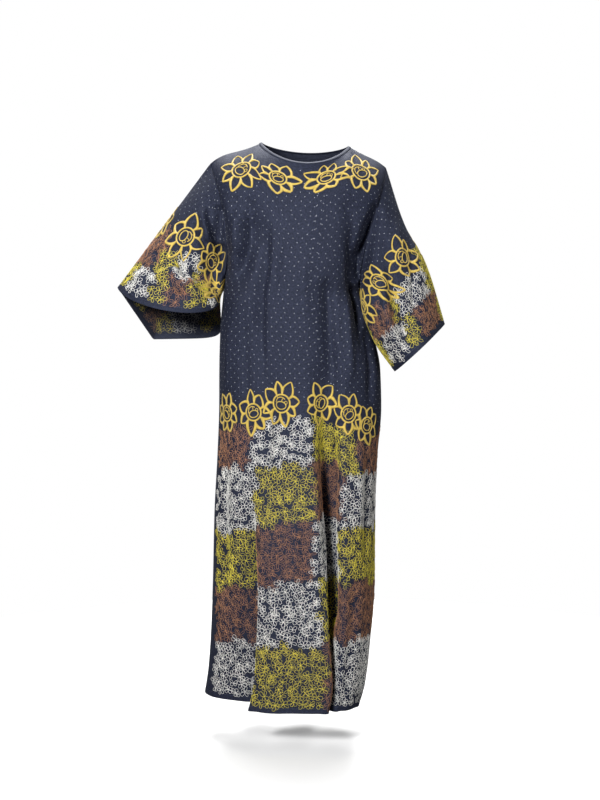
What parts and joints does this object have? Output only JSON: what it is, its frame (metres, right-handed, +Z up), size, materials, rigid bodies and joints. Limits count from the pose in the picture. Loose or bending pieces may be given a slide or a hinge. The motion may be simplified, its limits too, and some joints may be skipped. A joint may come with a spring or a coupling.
{
  "type": "abaya",
  "caption": "Full-length loose abaya with a bound boat neck, bell sleeves and a folded skirt, in the hollow form it takes when worn.",
  "frame": {"origin": "between the wearer's shoulders, at the height of the neck's side points, where the wearer holds the garment up", "axes": "+Z up, -Y the way the wearer faces, +X towards the wearer's left hand"},
  "size_m": [0.8021, 0.2852, 1.3858],
  "materials": {
    "navy_cloth": "matt crepe with a slight sheen",
    "navy_binding": "smooth satin binding",
    "gold_thread": "glossy satin stitch",
    "brown_thread": "soft looped thread",
    "white_thread": "soft looped thread",
    "yellow_thread": "soft looped thread"
  },
  "bodies": {
    "root": {"front": "navy_cloth", "back": "navy_cloth", "sleeve_left": "navy_cloth", "sleeve_right": "navy_cloth", "neck_binding": "navy_binding"}
  },
  "joints": []
}
